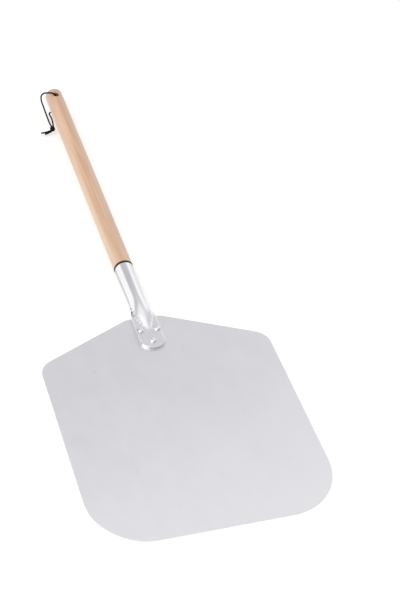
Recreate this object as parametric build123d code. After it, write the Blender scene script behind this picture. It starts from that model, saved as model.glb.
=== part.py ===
from build123d import *
import math
import os

# Pizza peel: a flat sheet-aluminium blade on a wooden handle.
# Frame: origin at the centre of the blade's underside, +Z up out of the blade,
# +Y from the blade towards the hanging end of the handle, +X across. Millimetres.

# ---------------------------------------------------------------- dimensions
# blade
BLADE_WIDTH = 304.8          # 12 in across
BLADE_LENGTH = 355.6         # 14 in from the front edge to the rear edge of the neck
BLADE_THICK = 1.3
SHOULDER_LENGTH = 294.7      # front edge to where the side and shoulder lines meet
NECK_WIDTH = 47.0            # straight rear edge, measured between the shoulder lines
FRONT_RADIUS = 71.2
SIDE_RADIUS = 24.8
NECK_RADIUS = 15.0
BLADE_EDGE = 0.35            # rounding of the sheet's own edge

# socket: 1 in tube, necked, then pressed flat over the blade
TUBE_WALL = 1.5
TANG_HALF_WIDTH = 16.7       # half width of the flattened end
TANG_HALF_THICK = TUBE_WALL  # two walls pressed together
TANG_LENGTH = 37.0           # constant section, before its nose is rounded
TANG_NOSE_Y = 137.0          # centre of the rounded nose
TANG_NOSE_R = 18.5
MOUTH_Y = 274.0
MOUTH_R = 12.8
AXIS_Z = BLADE_THICK + TANG_HALF_THICK   # handle axis, at the middle of the tang

# rivets
RIVET_X = 11.3
RIVET_REAR_Y = 151.5
RIVET_FRONT_Y = 131.0
RIVETS = [(-RIVET_X, RIVET_REAR_Y), (RIVET_X, RIVET_REAR_Y), (0.0, RIVET_FRONT_Y)]
RIVET_SHANK_R = 2.4
RIVET_HOLE_R = 2.5
RIVET_HEAD_R = 4.8
RIVET_HEAD_H = 2.5
RIVET_FLARE_R = 3.4          # flush tail spread into the blade's underside
RIVET_FLARE_DEPTH = 0.9
RIVET_FLARE_GAP = 0.05       # between the tail and its countersink, on the radius
RIVET_TAIL_SHORT = 0.1       # the tail's cone is this much shorter than its countersink
SPOT_FACE_GAP = 0.05         # round the rivet head, on the radius
TANG_TOP = AXIS_Z + TANG_HALF_THICK - 0.02   # spot-faced level under the rivet heads

# dark ring between the tube's mouth and the wooden shoulder
RING_THICK = 3.0
RING_R = 13.1
RING_BORE_R = 11.3
RING_EDGE = 0.5

# wooden handle
WOOD_START_Y = MOUTH_Y + RING_THICK
WOOD_R = 13.43
WOOD_TIP_Y = 696.2
DOME_LENGTH = 8.5
DOME_STEPS = 12
TENON_R_MOUTH = 11.15
TENON_R_END = 10.45
TENON_LENGTH = 40.0          # inside the tube
HANG_HOLE_Y = 674.0
HANG_HOLE_R = 3.75
HANG_HOLE_SINK = 1.3         # easing of the hole's two rims

# retaining screw on the socket's underside
SCREW_Y = 256.0
SCREW_SHANK_R = 1.5
SCREW_HEAD_R = 2.8           # countersunk
SCREW_HEAD_H = 1.3
SCREW_FACE_Z = AXIS_Z - 12.5
SCREW_LENGTH = 10.0
SCREW_SLOT_WIDTH = 0.8
SCREW_SLOT_DEPTH = 0.6
SCREW_TUBE_GAP = 0.1         # on the radius
SCREW_WOOD_GAP = 0.05        # on the radius
SCREW_TIP_GAP = 0.3          # depth of the pilot hole beyond the tip

# hanging cord
CORD_R = 1.15
KNOT_R = 3.7

# heights that clear every piece, for cutters that run right through
BELOW = -30.0
ABOVE = 30.0


# ---------------------------------------------------------------- round bodies
def turned(length, radius, end_radius=None):
    """A cylinder, or a cone, centred on the origin along Z."""
    if end_radius is None:
        return Cylinder(radius, length)
    return Cone(radius, end_radius, length)


def upright(x, y, z0, z1, radius, end_radius=None):
    """A vertical cylinder, or cone, between two heights."""
    return Pos(x, y, (z0 + z1) / 2) * turned(z1 - z0, radius, end_radius)


def along_y(y0, y1, radius, end_radius=None):
    """A cylinder, or cone, on the handle's axis."""
    # the body's own +Z is laid along +Y
    return Pos(0, (y0 + y1) / 2, AXIS_Z) * Rot(-90, 0, 0) * turned(y1 - y0, radius, end_radius)


# ---------------------------------------------------------------- blade
def make_blade():
    front_y = -BLADE_LENGTH / 2
    rear_y = BLADE_LENGTH / 2
    shoulder_y = front_y + SHOULDER_LENGTH
    side_x = BLADE_WIDTH / 2
    neck_x = NECK_WIDTH / 2
    outline = Polygon(
        (-side_x, front_y),
        (side_x, front_y),
        (side_x, shoulder_y),
        (neck_x, rear_y),
        (-neck_x, rear_y),
        (-side_x, shoulder_y),
        align=None,
    )
    blade = extrude(outline, BLADE_THICK)

    def at_corner(edge, x, y, reach=0.5):
        """True at either of the two mirrored corners."""
        centre = edge.center()
        return abs(abs(centre.X) - x) < reach and abs(centre.Y - y) < reach

    for x, y, radius in (
        (side_x, front_y, FRONT_RADIUS),
        (side_x, shoulder_y, SIDE_RADIUS),
        (neck_x, rear_y, NECK_RADIUS),
    ):
        corners = [e for e in blade.edges().filter_by(Axis.Z) if at_corner(e, x, y)]
        blade = fillet(corners, radius)
    faces = blade.faces().sort_by(Axis.Z)
    blade = fillet(faces[-1].edges() + faces[0].edges(), BLADE_EDGE)

    flare_r = RIVET_FLARE_R + RIVET_FLARE_GAP
    for x, y in RIVETS:
        blade -= upright(x, y, BELOW, ABOVE, RIVET_HOLE_R)
        blade -= upright(x, y, 0, RIVET_FLARE_DEPTH, flare_r, RIVET_HOLE_R)
    return blade


# ---------------------------------------------------------------- socket sections
SECTION_STEPS = 40           # points round each cross-section
HALF = TANG_HALF_WIDTH
WING = TANG_HALF_THICK
SEAT = WING + 0.03           # pressed slightly past the blade's top, then faced flat to it

# Outside of the tube. Each section has flat wings out to the half width and a hump between
# them; a hump as wide as the section, with power 0.5 and no wing, makes half an ellipse.
# y, half width, hump height, hump half width, hump power, wing height,
# depth under the axis, squareness below (2 is an ellipse)
OUTER = [
    (149.0, HALF, 0.00, 2.6, 1.30, WING, SEAT, 12.0),
    (151.0, HALF, 0.03, 3.0, 1.30, WING, SEAT, 12.0),
    (153.0, HALF, 0.22, 3.6, 1.28, WING, SEAT, 12.0),
    (155.5, HALF, 0.80, 4.4, 1.26, WING, SEAT, 12.0),
    (158.5, HALF, 1.65, 5.5, 1.24, WING, SEAT, 12.0),
    (162.0, HALF, 2.70, 6.8, 1.20, WING, SEAT, 12.0),
    (166.0, HALF, 3.90, 8.3, 1.14, WING, SEAT, 12.0),
    (170.0, 16.63, 5.00, 9.8, 1.06, WING, SEAT, 12.0),
    (174.0, 16.42, 6.00, 11.3, 0.96, WING - 0.05, SEAT, 12.0),
    (178.0, 15.98, 7.05, 12.8, 0.83, WING - 0.25, SEAT + 0.05, 9.0),
    (182.0, 15.30, 8.20, 13.9, 0.69, 0.80, 2.4, 5.0),
    (186.0, 14.50, 9.35, 14.2, 0.57, 0.25, 4.5, 3.2),
    (190.0, 13.70, 10.10, 13.70, 0.5, 0.0, 6.4, 2.6),
    (196.0, 12.70, 10.70, 12.70, 0.5, 0.0, 8.9, 2.2),
    (202.0, 12.00, 11.15, 12.00, 0.5, 0.0, 10.6, 2.05),
    (208.0, 11.74, 11.50, 11.74, 0.5, 0.0, 11.35, 2.0),
    (214.0, 11.70, 11.70, 11.70, 0.5, 0.0, 11.70, 2.0),
    (224.0, 11.86, 11.86, 11.86, 0.5, 0.0, 11.86, 2.0),
    (234.0, 12.06, 12.06, 12.06, 0.5, 0.0, 12.06, 2.0),
    (248.0, 12.36, 12.36, 12.36, 0.5, 0.0, 12.36, 2.0),
    (262.0, 12.62, 12.62, 12.62, 0.5, 0.0, 12.62, 2.0),
    (MOUTH_Y, MOUTH_R, MOUTH_R, MOUTH_R, 0.5, 0.0, MOUTH_R, 2.0),
]
TANG_END_Y = OUTER[0][0]     # from here forwards the section is constant
# y of the lofted outer sections, close together where the shape changes fastest
STATIONS = [TANG_END_Y + 1.5 * k for k in range(31)]
STATIONS += [196, 199, 202, 205, 208, 211, 214, 219, 224, 234, 248, 262, MOUTH_Y]

# The cavity keeps a full wall inside the OUTER rows from CAVITY_WALL_Y to the mouth,
# and in front of them closes down through these: y, half width, height, depth
CAVITY_WALL_Y = 190.0
CAVITY_END = [
    (184.5, 12.4, 7.7, 2.0),
    (179, 10.6, 6.1, 0.5),
    (174, 8.2, 4.9, 0.35),
    (169, 5.4, 3.8, 0.3),
    (165, 3.6, 2.6, 0.3),
]
CAVITY_OVERRUN = 4.0         # cavity cutter beyond the mouth
CAVITY_FLARE = 0.06          # its extra radius at that end


def steady(xs, ys, x):
    """Smooth interpolation that never overshoots its points."""
    count = len(xs)
    gaps = [xs[i + 1] - xs[i] for i in range(count - 1)]
    slopes = [(ys[i + 1] - ys[i]) / gaps[i] for i in range(count - 1)]
    tangents = [slopes[0]] + [0.0] * (count - 2) + [slopes[-1]]
    for i in range(1, count - 1):
        if slopes[i - 1] * slopes[i] > 0:
            before = 2 * gaps[i] + gaps[i - 1]
            after = gaps[i] + 2 * gaps[i - 1]
            tangents[i] = (before + after) / (before / slopes[i - 1] + after / slopes[i])
    i = max(k for k in range(count - 1) if xs[k] <= x)
    t = (x - xs[i]) / gaps[i]
    return (
        ys[i] * (1 + 2 * t) * (1 - t) ** 2
        + tangents[i] * gaps[i] * t * (1 - t) ** 2
        + ys[i + 1] * t * t * (3 - 2 * t)
        + tangents[i + 1] * gaps[i] * t * t * (t - 1)
    )


def section_wire(y, half, hump, hump_half, power, wing, depth, square):
    """One cross-section, from the columns of OUTER: a curve over the top and one under
    the bottom, meeting upright at the two widest points."""
    points = []
    for k in range(SECTION_STEPS):
        angle = 2 * math.pi * k / SECTION_STEPS
        x = half * math.cos(angle)
        reach = min(1.0, abs(math.cos(angle)))
        if math.sin(angle) >= 0:
            flat = wing * (1 - reach**12) ** (1 / 12)
            z = flat + hump * max(0.0, 1 - (x / hump_half) ** 2) ** power
        else:
            z = -depth * (1 - reach**square) ** (1 / square)
        points.append(Vector(x, y, AXIS_Z + z))

    middle = SECTION_STEPS // 2
    params = [k / middle for k in range(middle + 1)]
    up, down = Vector(0, 0, 1), Vector(0, 0, -1)
    over = points[: middle + 1]
    under = points[middle:] + points[:1]
    return Wire(
        [
            Edge.make_spline(over, tangents=[up, down], parameters=params),
            Edge.make_spline(under, tangents=[down, up], parameters=params),
        ]
    )


def outer_wire(y):
    """The tube's outside at any station."""
    table_y, *columns = zip(*OUTER)
    return section_wire(y, *(steady(table_y, column, y) for column in columns))


def cavity_wire(y, half, height, depth):
    """Half an ellipse over the axis and another under it."""
    return section_wire(y, half, height, half, 0.5, 0.0, depth, 2.0)


def ruled_loft(wires):
    return Part(Solid.make_loft(wires, ruled=True).wrapped)


def make_cavity():
    mouth_r = MOUTH_R - TUBE_WALL + CAVITY_FLARE
    wires = [cavity_wire(MOUTH_Y + CAVITY_OVERRUN, mouth_r, mouth_r, mouth_r)]
    for y, half, height, _, _, _, depth, _ in reversed(OUTER[:-1]):
        if y >= CAVITY_WALL_Y:
            wires.append(
                cavity_wire(y, half - TUBE_WALL, height - TUBE_WALL, depth - TUBE_WALL)
            )
    wires += [cavity_wire(*row) for row in CAVITY_END]
    return ruled_loft(wires)


# ---------------------------------------------------------------- socket
def make_screw_head():
    """The countersunk cone, also used to cut its seat."""
    return upright(
        0, SCREW_Y, SCREW_FACE_Z, SCREW_FACE_Z + SCREW_HEAD_H, SCREW_HEAD_R, SCREW_SHANK_R
    )


def make_socket():
    socket = ruled_loft([outer_wire(y) for y in STATIONS])
    # the fully flattened length runs on forwards from the first section
    flat_face = Face(outer_wire(TANG_END_Y))
    socket += Part(Solid.extrude(flat_face, Vector(0, -TANG_LENGTH, 0)).wrapped)
    socket -= make_cavity()
    # faced flat where it lies on the blade, from y 82 to 178
    socket -= Pos(0, 130, BLADE_THICK - 5) * Box(60, 96, 10)
    # rounded nose of the flattened end
    nose_waste = Pos(0, TANG_NOSE_Y - 20, AXIS_Z) * Box(50, 40, 12)
    nose_waste -= upright(0, TANG_NOSE_Y, AXIS_Z - 8, AXIS_Z + 8, TANG_NOSE_R)
    socket -= nose_waste
    for x, y in RIVETS:
        socket -= upright(x, y, 0, ABOVE, RIVET_HOLE_R)
        socket -= upright(x, y, TANG_TOP, ABOVE, RIVET_HEAD_R + SPOT_FACE_GAP)
    # countersunk hole for the retaining screw, in the lower wall only
    socket -= upright(0, SCREW_Y, BELOW, AXIS_Z, SCREW_SHANK_R + SCREW_TUBE_GAP)
    socket -= make_screw_head()
    socket -= upright(0, SCREW_Y, BELOW, SCREW_FACE_Z, SCREW_HEAD_R)
    return socket


# ---------------------------------------------------------------- rivets
def make_rivet(x, y):
    sphere_r = (RIVET_HEAD_R**2 + RIVET_HEAD_H**2) / (2 * RIVET_HEAD_H)
    head = Pos(x, y, TANG_TOP + RIVET_HEAD_H - sphere_r) * Sphere(sphere_r)
    # only the cap above the spot face is kept
    head &= Pos(x, y, TANG_TOP + 5) * Box(20, 20, 10)
    # the shank runs 0.5 up into the head
    shank = upright(x, y, 0, TANG_TOP + 0.5, RIVET_SHANK_R)
    tail_height = RIVET_FLARE_DEPTH - RIVET_TAIL_SHORT
    tail = upright(x, y, 0, tail_height, RIVET_FLARE_R - RIVET_FLARE_GAP, RIVET_SHANK_R)
    return (head + shank + tail).solids()[0]


def make_rivets():
    return Compound(children=[make_rivet(x, y) for x, y in RIVETS])


# ---------------------------------------------------------------- joint ring
def make_ring():
    ring = along_y(MOUTH_Y, WOOD_START_Y, RING_R)
    ring = fillet(ring.edges().filter_by(GeomType.CIRCLE), RING_EDGE)
    ring -= along_y(MOUTH_Y - 1, WOOD_START_Y + 1, RING_BORE_R)
    return ring


# ---------------------------------------------------------------- wooden handle
def make_dome():
    """Domed end: a quarter ellipse turned about the handle's axis."""
    base_y = WOOD_TIP_Y - DOME_LENGTH
    base_centre = Vector(0, base_y, 0)
    quarter = []
    for k in range(DOME_STEPS + 1):
        angle = math.pi / 2 * k / DOME_STEPS
        y = base_y + DOME_LENGTH * math.sin(angle)
        quarter.append(Vector(WOOD_R * math.cos(angle), y, 0))
    profile = make_face(
        [
            Edge.make_spline(quarter, tangents=[Vector(0, 1, 0), Vector(-1, 0, 0)]),
            Edge.make_line(quarter[-1], base_centre),
            Edge.make_line(base_centre, quarter[0]),
        ]
    )
    return Pos(0, 0, AXIS_Z) * revolve(profile, Axis.Y)


def make_wood():
    wood = along_y(WOOD_START_Y, WOOD_TIP_Y - DOME_LENGTH, WOOD_R)
    wood += make_dome()
    wood += along_y(MOUTH_Y - TENON_LENGTH, WOOD_START_Y, TENON_R_END, TENON_R_MOUTH)
    wood -= upright(0, HANG_HOLE_Y, BELOW, ABOVE, HANG_HOLE_R)
    # both rims eased at 45 degrees; each cutter stands proud of the wood
    proud = 1.0
    wide = HANG_HOLE_R + HANG_HOLE_SINK + proud
    top = AXIS_Z + WOOD_R
    bottom = AXIS_Z - WOOD_R
    wood -= upright(0, HANG_HOLE_Y, top - HANG_HOLE_SINK, top + proud, HANG_HOLE_R, wide)
    wood -= upright(0, HANG_HOLE_Y, bottom - proud, bottom + HANG_HOLE_SINK, wide, HANG_HOLE_R)
    # pilot hole for the retaining screw
    pilot_end = SCREW_FACE_Z + SCREW_LENGTH + SCREW_TIP_GAP
    wood -= upright(0, SCREW_Y, BELOW, pilot_end, SCREW_SHANK_R + SCREW_WOOD_GAP)
    return wood


# ---------------------------------------------------------------- retaining screw
def make_screw():
    # the shank starts inside the head
    shank_z = SCREW_FACE_Z + 0.5
    screw = make_screw_head()
    screw += upright(0, SCREW_Y, shank_z, SCREW_FACE_Z + SCREW_LENGTH, SCREW_SHANK_R)
    slot = Box(SCREW_SLOT_WIDTH, 12, 2 * SCREW_SLOT_DEPTH)
    screw -= Pos(0, SCREW_Y, SCREW_FACE_Z) * slot
    return screw


# ---------------------------------------------------------------- hanging cord
# One length from the knot, under the handle, up through the hole and back over.
# x, y from the hanging hole's centre, z
CORD_LOOP = [
    (-16.5, -51.4, -9.4), (-15.0, -46.5, -10.0), (-12.7, -36.0, -11.2),
    (-11.8, -26.0, -11.7), (-11.7, -18.5, -12.1), (-12.3, -11.5, -12.4),
    (-11.2, -7.4, -12.5), (-7.4, -4.4, -12.5), (-3.4, -1.4, -11.8),
    (-1.7, -0.2, -9.0), (-1.6, 0, -5), (-1.6, 0, 0), (-1.6, 0, 7), (-1.6, 0, 13.0),
    (-2.6, 0.3, 16.7), (-6.7, 1.6, 18.1), (-13.2, 3.6, 17.9), (-18.8, 4.6, 16.8),
    (-22.8, 1.8, 15.0), (-24.6, -5.2, 12.0), (-23.5, -21.7, 6.5),
    (-21.8, -37.3, 0.5), (-19.5, -47.5, -4.6), (-18.3, -51.1, -7.4),
]
# knot centre and the two loose ends: x, y, z
KNOT = (-17.4, 621.0, -8.8)
TAIL_LONG = [KNOT, (-21.0, 618.6, -11.2), (-27.6, 617.1, -13.4), (-35.2, 617.9, -15.0)]
TAIL_SHORT = [KNOT, (-20.6, 617.0, -12.0), (-25.5, 614.9, -14.2), (-30.5, 614.8, -15.6)]


def cord_run(points):
    path = Edge.make_spline([Vector(*point) for point in points])
    start = Plane(origin=path @ 0, z_dir=path % 0)
    return sweep(start * Circle(CORD_R), path=path)


def make_cord():
    loop = [(x, HANG_HOLE_Y + y, z) for x, y, z in CORD_LOOP]
    cord = Pos(*KNOT) * Sphere(KNOT_R)
    for run in (loop, TAIL_LONG, TAIL_SHORT):
        cord += cord_run(run)
    return cord


# ---------------------------------------------------------------- write
PIECES = {
    "blade": make_blade,
    "handle_socket": make_socket,
    "socket_rivets": make_rivets,
    "joint_ring": make_ring,
    "wood_handle": make_wood,
    "retaining_screw": make_screw,
    "hanging_cord": make_cord,
}
os.makedirs("parts", exist_ok=True)
for name, make in PIECES.items():
    export_step(make(), f"parts/{name}.step")
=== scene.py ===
"""A pizza peel: sheet blade, tube socket with rivets, rubber joint ring, beech handle and cord.

The peel lies along Y: the blade's front edge is at the -Y end and the handle's domed end at +Y.
+Z is up. Sizes are in millimetres unless a name or comment says otherwise; MM turns them into
Blender's metres.
"""
import bpy
import bmesh
import math
from mathutils import Vector, Matrix

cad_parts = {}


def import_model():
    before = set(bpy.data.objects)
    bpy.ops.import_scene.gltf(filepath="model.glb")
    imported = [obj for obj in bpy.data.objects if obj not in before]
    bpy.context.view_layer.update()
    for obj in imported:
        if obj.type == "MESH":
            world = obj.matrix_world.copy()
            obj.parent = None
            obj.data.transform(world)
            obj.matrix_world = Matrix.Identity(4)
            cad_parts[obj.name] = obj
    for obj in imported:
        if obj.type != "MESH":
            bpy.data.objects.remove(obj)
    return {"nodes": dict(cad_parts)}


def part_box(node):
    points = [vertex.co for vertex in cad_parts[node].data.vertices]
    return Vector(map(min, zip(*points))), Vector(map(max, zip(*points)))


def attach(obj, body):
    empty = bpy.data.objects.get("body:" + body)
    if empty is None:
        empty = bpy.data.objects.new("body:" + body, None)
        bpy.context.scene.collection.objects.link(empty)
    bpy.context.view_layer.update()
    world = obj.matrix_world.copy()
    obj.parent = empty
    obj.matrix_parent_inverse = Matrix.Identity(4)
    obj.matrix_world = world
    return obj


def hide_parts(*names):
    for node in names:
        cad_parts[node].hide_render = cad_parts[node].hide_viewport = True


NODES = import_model()["nodes"]
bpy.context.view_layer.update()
MM = 0.001
HOLE_Y = 674.0              # centre of the hanging hole, which runs along Z at x = 0


# ------------------------------------------------------------------ node helpers
class Nodes:
    """A cleared node tree and short calls to fill it."""

    def __init__(self, tree):
        self.tree = tree
        tree.nodes.clear()

    def node(self, kind, **props):
        node = self.tree.nodes.new(kind)
        for name, value in props.items():
            setattr(node, name, value)
        return node

    def put(self, socket, value):
        """Link the value if it is a socket, otherwise store it."""
        if isinstance(value, bpy.types.NodeSocket):
            self.tree.links.new(value, socket)
        else:
            socket.default_value = value

    def mapping(self, vector, scale, offset=(0, 0, 0), rotation=(0, 0, 0)):
        node = self.node("ShaderNodeMapping")
        self.put(node.inputs["Vector"], vector)
        node.inputs["Location"].default_value = offset
        node.inputs["Rotation"].default_value = rotation
        node.inputs["Scale"].default_value = scale
        return node.outputs["Vector"]

    def coords(self, scale=1, offset=(0, 0, 0), rotation=(0, 0, 0)):
        """Object coordinates in mm times scale, one number or one per axis."""
        if not isinstance(scale, tuple):
            scale = (scale,) * 3
        place = self.node("ShaderNodeTexCoord").outputs["Object"]
        return self.mapping(place, [s * 1000 for s in scale], offset, rotation)

    def noise(self, where, detail=3.0, rough=0.5, distortion=0.0, offset=(0, 0, 0), out="Fac"):
        """Noise over a vector socket, or over object coordinates scaled by where."""
        if not isinstance(where, bpy.types.NodeSocket):
            where = self.coords(where, offset)
        node = self.node("ShaderNodeTexNoise")
        self.put(node.inputs["Vector"], where)
        node.inputs["Scale"].default_value = 1.0
        node.inputs["Detail"].default_value = detail
        node.inputs["Roughness"].default_value = rough
        node.inputs["Distortion"].default_value = distortion
        return node.outputs[out]

    def voronoi(self, vector, feature="F1"):
        node = self.node("ShaderNodeTexVoronoi", feature=feature)
        self.put(node.inputs["Vector"], vector)
        node.inputs["Scale"].default_value = 1.0
        return node.outputs["Distance"]

    def ramp(self, factor, stops, interpolation="LINEAR"):
        """Stops are (position, grey level or colour)."""
        node = self.node("ShaderNodeValToRGB")
        node.color_ramp.interpolation = interpolation
        elements = node.color_ramp.elements
        while len(elements) < len(stops):
            elements.new(0.5)
        for element, (position, colour) in zip(elements, stops):
            element.position = position
            if isinstance(colour, (int, float)):
                colour = (colour,) * 3
            element.color = (*colour, 1.0)
        self.put(node.inputs["Fac"], factor)
        return node.outputs["Color"]

    def facing_ramp(self, stops):
        """A ramp from surfaces seen square on (0) to surfaces seen edge on (1)."""
        node = self.node("ShaderNodeLayerWeight")
        node.inputs["Blend"].default_value = 0.5
        return self.ramp(node.outputs["Facing"], stops, "EASE")

    def math(self, operation, first, second=0.0, clamp=False):
        node = self.node("ShaderNodeMath", operation=operation, use_clamp=clamp)
        self.put(node.inputs[0], first)
        self.put(node.inputs[1], second)
        return node.outputs[0]

    def add(self, first, second, clamp=False):
        return self.math("ADD", first, second, clamp)

    def sub(self, first, second, clamp=False):
        return self.math("SUBTRACT", first, second, clamp)

    def mul(self, first, second, clamp=False):
        return self.math("MULTIPLY", first, second, clamp)

    def length(self, x, y):
        return self.math("SQRT", self.add(self.mul(x, x), self.mul(y, y)))

    def spread(self, value, over, to=(0.0, 1.0), kind="LINEAR"):
        """Map the range over to the range to, held at its ends."""
        node = self.node("ShaderNodeMapRange", interpolation_type=kind)
        self.put(node.inputs["Value"], value)
        node.inputs["From Min"].default_value, node.inputs["From Max"].default_value = over
        node.inputs["To Min"].default_value, node.inputs["To Max"].default_value = to
        return node.outputs["Result"]

    def mix(self, factor, first, second, blend="MIX"):
        """Mix two colours."""
        node = self.node("ShaderNodeMix", data_type="RGBA", blend_type=blend)
        self.put(node.inputs["Factor"], factor)
        for socket, colour in ((node.inputs[6], first), (node.inputs[7], second)):
            if isinstance(colour, tuple):
                colour = (*colour, 1.0)
            self.put(socket, colour)
        return node.outputs[2]

    def mix_levels(self, factor, first, second):
        """Mix two plain numbers."""
        node = self.node("ShaderNodeMix", data_type="FLOAT")
        self.put(node.inputs[0], factor)
        self.put(node.inputs[2], first)
        self.put(node.inputs[3], second)
        return node.outputs[0]

    def bump(self, height, depth, strength, base=None):
        """Bump by height, depth in mm, on top of the base normal."""
        node = self.node("ShaderNodeBump")
        node.inputs["Strength"].default_value = strength
        node.inputs["Distance"].default_value = depth * MM
        self.put(node.inputs["Height"], height)
        if base is not None:
            self.put(node.inputs["Normal"], base)
        return node.outputs["Normal"]

    def split(self, vector):
        node = self.node("ShaderNodeSeparateXYZ")
        self.put(node.inputs[0], vector)
        return node.outputs

    def merge(self, x, y, z):
        node = self.node("ShaderNodeCombineXYZ")
        for socket, value in zip(node.inputs, (x, y, z)):
            self.put(socket, value)
        return node.outputs[0]

    def scratches(self, cells, width, patches, patch_over, patch_offset):
        """Thin lines along cell edges, kept only in the patches where a broad noise is high."""
        edge = self.voronoi(cells, feature="DISTANCE_TO_EDGE")
        line = self.spread(edge, over=(0.0, width), to=(1.0, 0.0))
        patch = self.noise(patches, detail=2.0, offset=patch_offset)
        return self.mul(line, self.spread(patch, over=patch_over), clamp=True)


class Material(Nodes):
    """A material with a Principled surface."""

    def __init__(self, name):
        self.data = bpy.data.materials.new(name)
        self.data.use_nodes = True
        super().__init__(self.data.node_tree)
        output = self.node("ShaderNodeOutputMaterial")
        self.surface = self.node("ShaderNodeBsdfPrincipled")
        self.put(output.inputs["Surface"], self.surface.outputs["BSDF"])

    def set(self, name, value):
        self.put(self.surface.inputs[name], value)


def srgb(*channels):
    """Linear colour from 0-255 sRGB channels."""
    levels = [c / 255.0 for c in channels]
    return tuple(v / 12.92 if v <= 0.04045 else ((v + 0.055) / 1.055) ** 2.4 for v in levels)


# ------------------------------------------------------------------ materials
def blade_material():
    """Satin sheet aluminium: rolling lines along the peel, fine scratches, faint smears."""
    mat = Material("blade_aluminium")
    lines = mat.noise((3.2, 0.02, 1.0), detail=4.0, rough=0.65)
    fine_lines = mat.noise((11.0, 0.06, 1.0), detail=2.0, rough=0.6)
    smear = mat.noise((0.012, 0.009, 0.012), detail=4.0, rough=0.55, distortion=0.6)
    mottle = mat.noise((0.06, 0.035, 0.06), detail=5.0, rough=0.6, distortion=0.3)

    def scratch_set(scale, angle, offset, width):
        cells = mat.coords((scale, scale * 0.035, 1.0), offset, rotation=(0, 0, angle))
        return mat.scratches(cells, width, patches=0.02, patch_over=(0.52, 0.62),
                             patch_offset=offset)

    first = scratch_set(scale=0.09, angle=0.35, offset=(3, 1, 0), width=0.012)
    second = scratch_set(scale=0.11, angle=-0.55, offset=(7, 9, 0), width=0.010)
    third = scratch_set(scale=0.07, angle=1.25, offset=(1, 5, 0), width=0.008)
    scratch = mat.math("MAXIMUM", mat.math("MAXIMUM", first, second), third)

    colour = mat.mix(mat.spread(smear, over=(0.3, 0.7)),
                     (0.790, 0.785, 0.815), (0.835, 0.832, 0.850))
    colour = mat.mix(mat.spread(lines, over=(0.25, 0.75), to=(0.0, 0.35)),
                     colour, (0.735, 0.735, 0.765))
    colour = mat.mix(mat.mul(scratch, 0.35), colour, (0.90, 0.90, 0.91))
    # painted light: the blade is painted lighter toward its front edge
    painted_front_brightening = mat.spread(mat.split(mat.coords())[1], over=(60.0, -150.0), to=(0.0, 0.62))
    mat.set("Base Color", mat.mix(painted_front_brightening, colour, (0.94, 0.94, 0.955)))
    mat.set("Metallic", 1.0)
    rough = mat.spread(mottle, over=(0.25, 0.75), to=(0.33, 0.44))
    rough = mat.add(rough, mat.spread(fine_lines, over=(0.3, 0.7), to=(-0.03, 0.03)))
    mat.set("Roughness", mat.sub(rough, mat.mul(scratch, 0.10), clamp=True))
    mat.set("Anisotropic", 0.30)
    mat.set("Tangent", mat.merge(0.0, 1.0, 0.0))
    normal = mat.bump(lines, depth=0.02, strength=0.22)
    normal = mat.bump(smear, depth=1.2, strength=0.10, base=normal)
    normal = mat.bump(mat.mul(scratch, -1.0), depth=0.02, strength=0.35, base=normal)
    mat.set("Normal", normal)
    return mat.data


def tube_material():
    """Polished tube: drawing lines along it, a gentle waviness and small scratches."""
    mat = Material("socket_polished")
    draw_lines = mat.noise((2.8, 0.03, 2.8), rough=0.6)
    cloud = mat.noise((0.05, 0.03, 0.05), detail=4.0, rough=0.55)
    waves = mat.noise((0.07, 0.035, 0.07), detail=2.0, rough=0.4, offset=(4, 2, 7))
    cells = mat.coords((0.12, 0.5, 0.12), rotation=(0.2, 0.1, 0.5))
    scratch = mat.scratches(cells, width=0.012, patches=(0.08, 0.05, 0.08),
                            patch_over=(0.5, 0.62), patch_offset=(9, 0, 2))

    colour = mat.mix(mat.spread(cloud, over=(0.3, 0.7)), (0.82, 0.82, 0.845), (0.88, 0.88, 0.89))
    # behind the pressed end, a painted reflection darkens the rounded flanks and painted shade
    # darkens the underside
    painted_flank_reflection = mat.facing_ramp([(0.54, 1.0), (0.64, 0.86), (0.76, 0.66), (1.0, 0.58)])
    # painted shade: darker where the surface faces down
    normal_z = mat.split(mat.node("ShaderNodeNewGeometry").outputs["Normal"])[2]
    under = mat.ramp(mat.spread(normal_z, over=(-0.2, 0.8)),
                     [(0.0, 0.70), (0.35, 0.72), (0.62, 1.0)], "EASE")
    round_part = mat.spread(mat.split(mat.coords())[1], over=(190.0, 208.0))
    for shade in (painted_flank_reflection, under):
        shaded = mat.mix(1.0, colour, shade, blend="MULTIPLY")
        colour = mat.mix(mat.mul(round_part, 1.0, clamp=True), colour, shaded)
    mat.set("Base Color", colour)
    mat.set("Metallic", 1.0)
    rough = mat.spread(cloud, over=(0.25, 0.75), to=(0.10, 0.19))
    # pressing the end flat leaves its skin a little duller than the drawn tube
    pressed = mat.spread(mat.split(mat.coords())[1], over=(190.0, 176.0), to=(0.0, 0.13))
    rough = mat.add(rough, pressed)
    mat.set("Roughness", mat.add(rough, mat.mul(scratch, 0.12), clamp=True))
    # pressed metal has no knife edges: every crease is softly rounded
    soft = mat.node("ShaderNodeBevel", samples=8)
    soft.inputs["Radius"].default_value = 1.8 * MM
    normal = mat.bump(draw_lines, depth=0.01, strength=0.25, base=soft.outputs["Normal"])
    normal = mat.bump(waves, depth=0.9, strength=0.10, base=normal)
    mat.set("Normal", mat.bump(scratch, depth=-0.01, strength=0.3, base=normal))
    return mat.data


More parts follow.
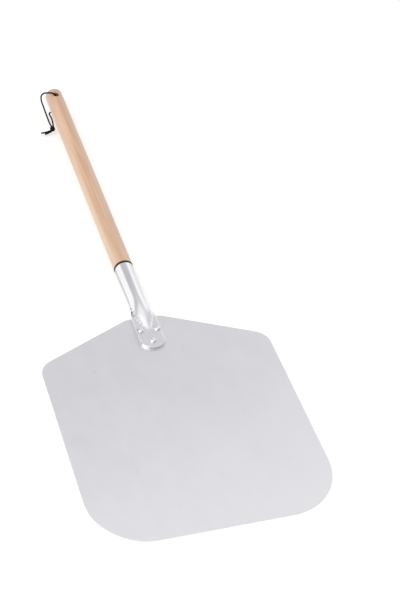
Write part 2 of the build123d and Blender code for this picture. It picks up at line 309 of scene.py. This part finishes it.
def rivet_material():
    """Bright aluminium with a fine grain over broader tool marks."""
    mat = Material("rivet_aluminium")
    fine = mat.noise(1.6, detail=5.0, rough=0.6)
    tool = mat.noise(0.5, detail=2.0, rough=0.4, offset=(3, 3, 3))
    mat.set("Base Color", mat.mix(mat.spread(fine, over=(0.3, 0.7)),
                                  (0.76, 0.76, 0.78), (0.90, 0.90, 0.91)))
    mat.set("Metallic", 1.0)
    mat.set("Roughness", mat.spread(fine, over=(0.25, 0.75), to=(0.14, 0.30)))
    broad = mat.bump(tool, depth=0.25, strength=0.15)
    mat.set("Normal", mat.bump(fine, depth=0.02, strength=0.3, base=broad))
    return mat.data


def screw_material():
    """Dull grey zinc."""
    mat = Material("screw_zinc")
    fine = mat.noise(2.0, detail=4.0, rough=0.6)
    mat.set("Base Color", mat.mix(mat.spread(fine, over=(0.3, 0.7)),
                                  (0.50, 0.50, 0.49), (0.66, 0.66, 0.64)))
    mat.set("Metallic", 1.0)
    mat.set("Roughness", mat.spread(fine, over=(0.25, 0.75), to=(0.28, 0.45)))
    mat.set("Normal", mat.bump(fine, depth=0.03, strength=0.3))
    return mat.data


def ring_material():
    """Black rubber, slightly dusty."""
    mat = Material("ring_rubber")
    grain = mat.noise(2.5, detail=5.0, rough=0.65)
    dust = mat.noise(0.25)
    mat.set("Base Color", mat.mix(mat.spread(dust, over=(0.45, 0.75)),
                                  (0.010, 0.009, 0.009), (0.030, 0.026, 0.024)))
    mat.set("Roughness", mat.spread(grain, over=(0.3, 0.7), to=(0.45, 0.65)))
    mat.set("Normal", mat.bump(grain, depth=0.03, strength=0.35))
    return mat.data


def wood_material():
    """Pale beech dowel under a thin satin lacquer. Growth rings run round a pith outside the
    dowel, so they show as long stripes on the sides and arcs on the domed end."""
    pith_x, pith_z = 34.0, -46.0
    ring_width = 3.1
    mat = Material("beech_lacquered")
    x, y, z = mat.split(mat.coords())
    wander_x, _, wander_z = mat.split(mat.noise((0.02, 0.004, 0.02), out="Color"))

    def from_pith(place, pith, wander):
        return mat.add(mat.sub(place, pith), mat.mul(mat.sub(wander, 0.5), 9.0))

    radius = mat.length(from_pith(x, pith_x, wander_x), from_pith(z, pith_z, wander_z))
    # growth rings: a saw-like period, uneven from year to year
    year = mat.noise(mat.merge(mat.mul(radius, 0.22), 0.0, 0.0), detail=2.0)
    phase = mat.add(mat.mul(radius, 1 / ring_width), mat.mul(year, 1.6))
    late = mat.ramp(mat.math("FRACT", phase), [(0.0, 0.25), (0.70, 0.40), (0.93, 1.0), (1.0, 0.25)])
    # broad colour: pinkish sapwood, browner stripes
    broad = mat.noise((0.05, 0.0035, 0.05), detail=4.0, rough=0.55, distortion=0.4)
    stripe = mat.noise((0.22, 0.004, 0.22), detail=4.0, rough=0.55, offset=(2, 5, 1))
    colour = mat.ramp(broad, [
        (0.28, srgb(206, 158, 124)),
        (0.43, srgb(226, 182, 148)),
        (0.56, srgb(236, 199, 167)),
        (0.72, srgb(214, 166, 130)),
    ])
    colour = mat.mix(mat.spread(stripe, over=(0.47, 0.60), to=(0.0, 0.72)),
                     colour, srgb(190, 138, 102))
    colour = mat.mix(mat.mul(late, 0.42), colour, srgb(184, 132, 98))
    # rays and pores: short dark dashes along the grain
    pores = mat.spread(mat.voronoi(mat.coords((2.2, 0.17, 2.2))), over=(0.10, 0.30), to=(1.0, 0.0))
    pore_patch = mat.noise((0.6, 0.03, 0.6), detail=2.0, offset=(5, 5, 5))
    pores = mat.mul(pores, mat.spread(pore_patch, over=(0.42, 0.60)), clamp=True)
    rays = mat.voronoi(mat.coords((1.0, 0.11, 1.0), offset=(11, 3, 6)))
    rays = mat.mul(mat.spread(rays, over=(0.05, 0.16), to=(1.0, 0.0)), 0.8, clamp=True)
    fleck = mat.math("MAXIMUM", pores, rays)
    colour = mat.mix(mat.mul(fleck, 0.42), colour, srgb(150, 98, 68))
    fibre = mat.noise((4.5, 0.10, 4.5), rough=0.65)
    colour = mat.mix(mat.spread(fibre, over=(0.3, 0.7), to=(0.0, 0.18)),
                     colour, srgb(188, 142, 112))
    # handling darkens the domed end slightly
    end = mat.spread(y, over=(664.0, 695.0))
    worn = mat.spread(mat.noise(0.12, rough=0.6), over=(0.35, 0.7), to=(0.1, 0.6))
    colour = mat.mix(mat.mul(end, worn, clamp=True), colour, srgb(176, 128, 98))
    # painted shade darkens the hanging hole's wall and rim
    from_hole = mat.length(x, mat.sub(y, HOLE_Y))
    colour = mat.mix(mat.spread(from_hole, over=(3.6, 6.2), to=(0.75, 0.0)),
                     colour, srgb(112, 64, 42))
    # paler toward the joint ring, and a painted sheen makes it paler where the surface turns away
    # from the eye
    colour = mat.mix(mat.spread(y, over=(290.0, 520.0), to=(0.30, 0.0)),
                     colour, srgb(232, 214, 194))
    painted_edge_sheen = mat.facing_ramp([(0.0, 0.0), (0.22, 0.02), (0.55, 0.45), (1.0, 0.85)])
    colour = mat.mix(painted_edge_sheen, colour, srgb(222, 203, 192))
    # a slight warm shift over the whole handle
    mat.set("Base Color", mat.mix(1.0, colour, (1.06, 1.025, 0.955), blend="MULTIPLY"))
    mat.set("Roughness", mat.spread(fibre, over=(0.25, 0.75), to=(0.40, 0.55)))
    mat.set("Coat Weight", 0.25)
    mat.set("Coat Roughness", 0.28)
    mat.set("Subsurface Weight", 0.06)
    mat.set("Subsurface Radius", (0.004, 0.002, 0.001))
    mat.set("Subsurface Scale", 0.4)
    normal = mat.bump(fibre, depth=0.03, strength=0.35)
    normal = mat.bump(mat.mul(fleck, -1.0), depth=0.06, strength=0.5, base=normal)
    mat.set("Normal", mat.bump(late, depth=0.03, strength=0.3, base=normal))
    return mat.data


def cord_material():
    """Black spun cord: fibres run along each strand, read from the strand's own UV."""
    mat = Material("cord_black")
    strand = mat.node("ShaderNodeUVMap", uv_map="strand").outputs["UV"]
    fibre = mat.noise(mat.mapping(strand, scale=(26.0, 3.0, 1.0), rotation=(0, 0, 0.18)),
                      detail=4.0, rough=0.6)
    fluff = mat.noise(1.4, detail=4.0, rough=0.6)
    mat.set("Base Color", mat.mix(mat.spread(fibre, over=(0.35, 0.72)),
                                  (0.0015, 0.0015, 0.002), (0.009, 0.009, 0.010)))
    mat.set("Roughness", mat.spread(fluff, over=(0.3, 0.7), to=(0.70, 0.9)))
    mat.set("Specular IOR Level", 0.25)
    mat.set("Sheen Weight", 0.03)
    mat.set("Sheen Roughness", 0.5)
    fuzz = mat.bump(fluff, depth=0.05, strength=0.3)
    mat.set("Normal", mat.bump(fibre, depth=0.08, strength=0.6, base=fuzz))
    return mat.data


def floor_material():
    """A white light table: partly lit from within, so that it stays pale under the peel."""
    mat = Material("floor_pale")
    mat.set("Base Color", (0.70, 0.70, 0.70, 1.0))
    mat.set("Roughness", 0.9)
    mat.set("Specular IOR Level", 0.1)
    mat.set("Emission Color", (1.0, 1.0, 1.0, 1.0))
    mat.set("Emission Strength", 0.46)
    return mat.data


PIECE_MATERIALS = {
    "blade": blade_material(),
    "handle_socket": tube_material(),
    "socket_rivets": rivet_material(),
    "joint_ring": ring_material(),
    "wood_handle": wood_material(),
    "retaining_screw": screw_material(),
}
for piece, material in PIECE_MATERIALS.items():
    mesh = NODES[piece].data
    mesh.materials.clear()
    mesh.materials.append(material)
    for face in mesh.polygons:
        face.material_index = 0


def add_object(name, data):
    obj = bpy.data.objects.new(name, data)
    bpy.context.scene.collection.objects.link(obj)
    return obj


def add_mesh(name, shell):
    """Turn a bmesh into an object in the scene."""
    mesh = bpy.data.meshes.new(name)
    shell.to_mesh(mesh)
    shell.free()
    return add_object(name, mesh)


# ------------------------------------------------------------------ hanging cord
CORD_RADIUS = 1.35
STRAND_COUNT = 3
# three equal strands that touch each other inside the cord's radius
STRAND_RADIUS = CORD_RADIUS / (1 + 2 / math.sqrt(3))
STRAND_OFFSET = CORD_RADIUS - STRAND_RADIUS
STRAND_SIDES = 10
TWIST_PITCH = 7.5           # length of one full turn of the strands
CORD_STEP = 0.35            # spacing of the rings along the cord
CURVE_STEPS = 24            # curve samples between two path points
UV_LENGTH = 3.0             # cord length per unit of V
END_START, END_LENGTH = 0.12, 0.8   # where the rounding of a cut end starts, and its length

# x, y from the hole's centre, z: up through the hole, over the handle and down to the knot
OVER_RUN = [
    (-1.6, 0, 0), (-1.6, 0, 7), (-1.6, 0, 13.2), (-2.7, 0.3, 16.9),
    (-6.7, 1.6, 18.3), (-13.2, 3.6, 17.9), (-18.8, 4.6, 16.8),
    (-22.8, 1.8, 15.0), (-24.6, -5.2, 12.0), (-23.5, -21.7, 6.5),
    (-21.8, -37.3, 0.5), (-19.9, -47.0, -4.6),
]
# the same columns: down out of the hole and under the handle to the knot
UNDER_RUN = [
    (-1.6, 0, -5), (-1.7, -0.2, -9.0), (-3.5, -1.4, -12.0),
    (-7.4, -4.4, -12.7), (-11.2, -7.4, -12.5), (-12.3, -11.5, -12.4),
    (-11.7, -18.5, -12.1), (-11.8, -26.0, -11.7), (-12.7, -36.0, -11.2),
    (-14.4, -45.5, -10.3),
]
# the knot: each run winds round the knot's centre before it leaves as a tail
KNOT = Vector((-17.4, 621.0, -8.8))
# x, y, z from the knot's centre
OVER_KNOT = [
    (-0.9, 2.9, 2.5), (1.3, 0.6, 2.2), (2.5, -1.2, 0.1), (1.0, -2.3, -2.0), (-1.5, -1.3, -2.3),
    (-2.6, 0.8, -0.6), (-1.4, 1.5, 1.6), (0.4, -0.4, 1.3), (-0.6, -1.6, -0.4), (-3.0, -2.4, -2.2),
]
UNDER_KNOT = [
    (1.7, 3.2, -1.2), (-0.4, 1.6, -1.9), (-2.2, -0.6, -1.5), (-2.2, -1.8, 1.0), (0.0, -1.8, 2.2),
    (2.0, 0.2, 1.4), (1.8, 1.4, -0.8), (0.2, -0.2, -1.3), (-1.6, -2.2, -2.0), (-3.6, -3.8, -3.2),
]
# x, y, z
LONG_TAIL = [(-22.4, 618.8, -11.4), (-27.5, 618.5, -12.6), (-32.0, 619.0, -13.5),
             (-35.4, 619.6, -14.1)]
SHORT_TAIL = [(-22.7, 617.4, -12.5), (-26.0, 617.0, -14.0), (-30.2, 617.4, -15.3)]


def cord_half(run, knot, tail):
    """Path points from the hole to the end of a tail."""
    return ([Vector((x, HOLE_Y + y, z)) for x, y, z in run]
            + [KNOT + Vector(offset) for offset in knot]
            + [Vector(point) for point in tail])


def smooth_curve(points):
    """A dense centripetal Catmull-Rom curve through the points."""

    def blend(start, end, start_time, end_time, time):
        span = end_time - start_time
        return start * ((end_time - time) / span) + end * ((time - start_time) / span)

    points = [points[0] * 2 - points[1]] + points + [points[-1] * 2 - points[-2]]
    dense = []
    for i in range(1, len(points) - 2):
        four = points[i - 1 : i + 3]
        times = [0.0]
        for start, end in zip(four, four[1:]):
            times.append(times[-1] + max((end - start).length, 1e-9) ** 0.5)
        for k in range(CURVE_STEPS):
            time = times[1] + (times[2] - times[1]) * k / CURVE_STEPS
            lines = [blend(four[j], four[j + 1], times[j], times[j + 1], time) for j in range(3)]
            arcs = [blend(lines[j], lines[j + 1], times[j], times[j + 2], time) for j in range(2)]
            dense.append(blend(arcs[0], arcs[1], times[1], times[2], time))
    dense.append(points[-2])
    return dense


def even_steps(dense, step):
    """The curve resampled at even steps, with its last point kept."""
    line, need = [dense[0]], step
    for start, end in zip(dense, dense[1:]):
        left = (end - start).length
        while left >= need:
            start = start + (end - start) * (need / left)
            line.append(start.copy())
            left = (end - start).length
            need = step
        need -= left
    line.append(dense[-1])
    return line


def side_axes(line):
    """Normal and binormal at each point of a line, without sudden turns."""
    last = len(line) - 1
    tangents = [(line[min(i + 1, last)] - line[max(i - 1, 0)]).normalized()
                for i in range(last + 1)]
    first = tangents[0]
    up = Vector((0, 0, 1)) if abs(first.z) < 0.9 else Vector((1, 0, 0))
    normal = (up - first * up.dot(first)).normalized()
    axes = []
    for tangent in tangents:
        normal = (normal - tangent * normal.dot(tangent)).normalized()
        axes.append((normal, tangent.cross(normal)))
    return axes


def add_strand(shell, strand_uv, strand, line, axes):
    """One strand of the twist, as its own closed tube."""
    last = len(line) - 1
    rings = []
    for i, (middle, (normal, binormal)) in enumerate(zip(line, axes)):

        def around(centre, radius, angle):
            return (centre + normal * (radius * math.cos(angle))
                    + binormal * (radius * math.sin(angle)))

        twist = 2 * math.pi * (strand / STRAND_COUNT + i * CORD_STEP / TWIST_PITCH)
        centre = around(middle, STRAND_OFFSET, twist)
        # cut ends close over slightly
        from_end = min(i, last - i) * CORD_STEP
        closing = min(1.0, (from_end + END_START) / END_LENGTH)
        radius = STRAND_RADIUS * math.sin(closing * math.pi / 2)
        rings.append([
            shell.verts.new(around(centre, radius, 2 * math.pi * s / STRAND_SIDES + twist) * MM)
            for s in range(STRAND_SIDES)
        ])
    for i in range(last):
        for s in range(STRAND_SIDES):
            after = (s + 1) % STRAND_SIDES
            face = shell.faces.new(
                (rings[i][s], rings[i][after], rings[i + 1][after], rings[i + 1][s]))
            face.smooth = True
            corners = ((s, i), (s + 1, i), (s + 1, i + 1), (s, i + 1))
            for loop, (side, ring) in zip(face.loops, corners):
                loop[strand_uv].uv = (side / STRAND_SIDES + strand, ring * CORD_STEP / UV_LENGTH)
    shell.faces.new(list(reversed(rings[0])))
    shell.faces.new(rings[-1])


def build_cord():
    """One length of cord: short tail, knot, under the handle, up through the hole, back over
    to the knot, long tail."""
    under = cord_half(UNDER_RUN, UNDER_KNOT, SHORT_TAIL)
    over = cord_half(OVER_RUN, OVER_KNOT, LONG_TAIL)
    line = even_steps(smooth_curve(under[::-1] + over), CORD_STEP)
    axes = side_axes(line)
    shell = bmesh.new()
    strand_uv = shell.loops.layers.uv.new("strand")
    for strand in range(STRAND_COUNT):
        add_strand(shell, strand_uv, strand, line, axes)
    bmesh.ops.recalc_face_normals(shell, faces=shell.faces)
    cord = add_mesh("cord_loop", shell)
    cord.data.materials.append(cord_material())
    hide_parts("hanging_cord")
    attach(cord, "cord")


build_cord()


# ------------------------------------------------------------------ floor (metres)
FLOOR_HALF = 6.0
FLOOR_CELLS = 24
FLOOR_GAP = 0.0004          # clearance under the blade


def build_floor():
    """A square grid, tilted so that the peel stands on its front edge and on the wooden
    shoulder behind the ring."""
    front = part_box("blade")[0]
    shoulder_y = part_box("joint_ring")[1].y
    shoulder_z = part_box("wood_handle")[0].z
    tilt = math.atan2(shoulder_z - front.z, shoulder_y - front.y)
    shell = bmesh.new()
    places = [(i / FLOOR_CELLS - 0.5) * 2 * FLOOR_HALF for i in range(FLOOR_CELLS + 1)]
    rows = [[shell.verts.new((x, y, 0)) for x in places] for y in places]
    for near, far in zip(rows, rows[1:]):
        for i in range(FLOOR_CELLS):
            shell.faces.new((near[i], near[i + 1], far[i + 1], far[i]))
    floor = add_mesh("floor", shell)
    floor.matrix_world = (Matrix.Translation((0, front.y, front.z - FLOOR_GAP))
                          @ Matrix.Rotation(tilt, 4, "X"))
    floor.data.materials.append(floor_material())


build_floor()


# ------------------------------------------------------------------ world
# angle from straight up towards +X, in degrees, and brightness: a long strip light each side
TENT = [
    (-180, 0.50), (-125, 0.62), (-97, 1.00), (-68, 1.16), (-55, 1.12), (-36, 0.70),
    (-23, 0.60), (-5, 0.65), (12, 0.64), (22, 0.70), (46, 1.14), (64, 1.10), (82, 0.95),
    (105, 0.70), (180, 0.50),
]


def build_world():
    """A tent: the strips show toward +Y, mid grey lies across the middle, the camera's -Y side
    is dim and a softbox hangs overhead."""
    world = bpy.data.worlds.new("studio")
    world.use_nodes = True
    bpy.context.scene.world = world
    sky = Nodes(world.node_tree)
    x, y, z = sky.split(sky.node("ShaderNodeTexCoord").outputs["Generated"])
    turn = sky.spread(sky.math("ARCTAN2", x, z), over=(-math.pi, math.pi))
    strips = sky.ramp(turn, [((angle + 180) / 360, level) for angle, level in TENT], "EASE")

    def blend(along, over, before, after):
        return sky.mix_levels(sky.spread(along, over, kind="SMOOTHSTEP"), before, after)

    level = blend(y, over=(0.22, 0.52), before=0.56, after=strips)
    level = blend(y, over=(-0.75, -0.25), before=0.42, after=level)
    level = blend(z, over=(0.74, 0.93), before=level, after=1.08)
    # the camera itself sees a plain pale room; only other rays see the tent
    camera_ray = sky.node("ShaderNodeLightPath").outputs["Is Camera Ray"]
    level = sky.mix_levels(camera_ray, level, 1.0)
    background = sky.node("ShaderNodeBackground")
    background.inputs["Color"].default_value = (0.985, 0.985, 1.0, 1.0)
    sky.put(background.inputs["Strength"], level)
    sky.put(sky.node("ShaderNodeOutputWorld").inputs[0], background.outputs[0])


build_world()


# ------------------------------------------------------------------ light (metres)
KEY_TARGET = Vector((0, 0.1, 0))
KEY_DIRECTION = Vector((-0.62, -0.25, 0.75)).normalized()   # from the target to the light
KEY_DISTANCE = 2.4
KEY_SIDE = 1.9
KEY_RADIANCE = 1.75         # brightness of the softbox's own face

light = bpy.data.lights.new("key", "AREA")
light.shape = "RECTANGLE"
light.size = light.size_y = KEY_SIDE
light.energy = KEY_RADIANCE * math.pi * KEY_SIDE * KEY_SIDE
light.color = (1.0, 0.99, 0.97)
key = add_object("key", light)
key.location = KEY_TARGET + KEY_DIRECTION * KEY_DISTANCE
key.rotation_euler = (-KEY_DIRECTION).to_track_quat("-Z", "Y").to_euler()
key.visible_camera = False


# ------------------------------------------------------------------ camera
CAMERA_PLACE = Vector((-464.49389914, -1104.94431599, 1276.74849025))
# the camera's own axes: right, up and back
CAMERA_AXES = Matrix((
    (0.94837487, -0.30030602, 0.10198727),
    (0.13158169, 0.6651587, 0.73501712),
    (-0.28856778, -0.68365211, 0.67033457),
))

lens = bpy.data.cameras.new("camera")
lens.sensor_fit = "AUTO"
lens.sensor_width = 36.0
lens.lens = 85.2
lens.clip_start = 0.05      # metres
lens.clip_end = 50.0
camera = add_object("camera", lens)
camera.matrix_world = (Matrix.Translation(CAMERA_PLACE * MM)
                       @ CAMERA_AXES.transposed().to_4x4())
scene = bpy.context.scene
scene.camera = camera
scene.view_settings.view_transform = "Standard"
scene.view_settings.look = "None"
